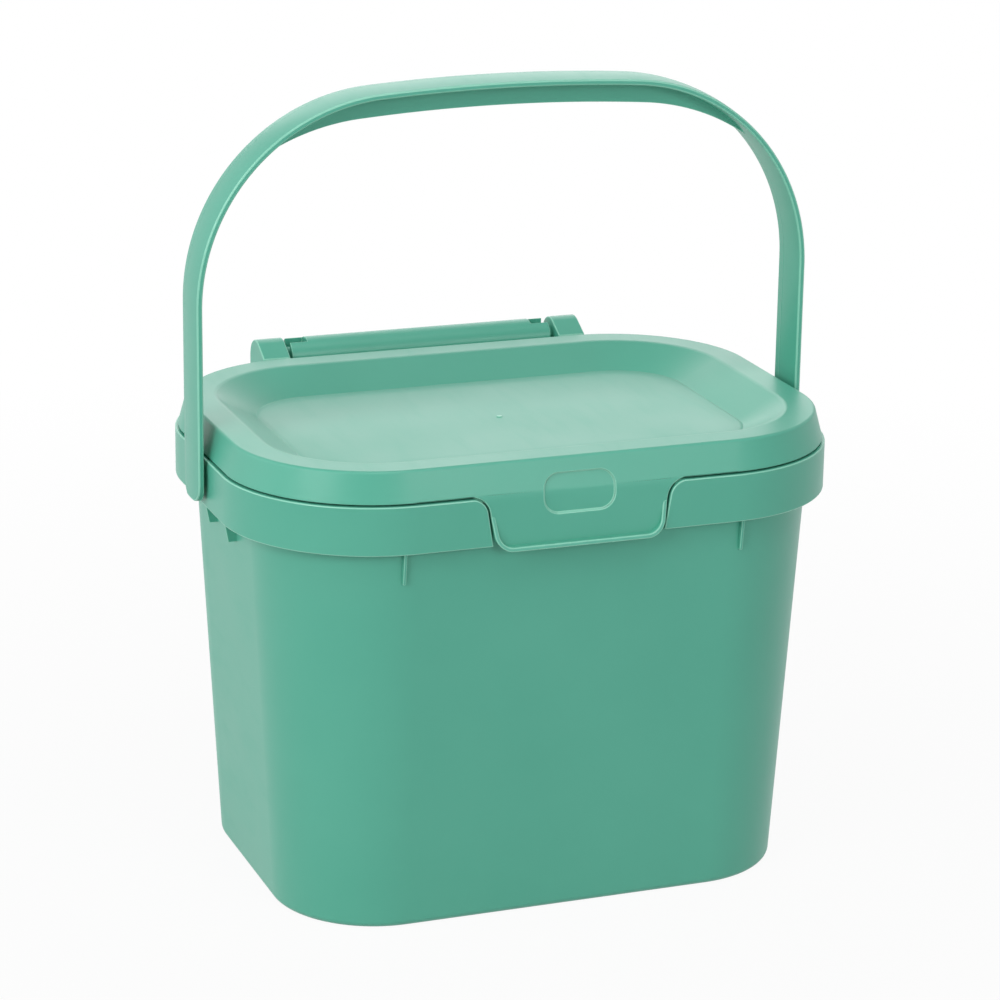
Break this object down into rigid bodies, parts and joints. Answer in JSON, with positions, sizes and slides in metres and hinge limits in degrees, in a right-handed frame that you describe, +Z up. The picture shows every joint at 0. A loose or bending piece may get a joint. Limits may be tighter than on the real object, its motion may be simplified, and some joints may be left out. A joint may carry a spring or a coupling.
{
  "type": "compost caddy",
  "caption": "Kitchen compost caddy: tapering tub with an overhanging collar, snap-hinged lid with a front lift tab, and a swinging bail handle.",
  "frame": {"origin": "centre of the tub's flat base, on the surface that it stands on", "axes": "+Z up out of the tub's mouth, +X along the tub's wider side, -Y out of the front, where the lift tab is"},
  "size_m": [0.259, 0.1995, 0.3215],
  "materials": {
    "tub": "satin",
    "lid": "satin",
    "handle": "satin"
  },
  "bodies": {
    "tub": {"tub": "tub"},
    "lid": {"lid": "lid"},
    "handle": {"handle": "handle"}
  },
  "joints": [
    {"name": "lid_hinge", "type": "hinge", "parent": "tub", "child": "lid", "pos_m": [0, 0.1, 0.187], "axis": [-1, 0, 0], "range_deg": [0, 34]},
    {"name": "handle_pivot", "type": "hinge", "parent": "tub", "child": "handle", "pos_m": [0, 0, 0.169], "axis": [1, 0, 0], "range_deg": [-140, 140]}
  ]
}
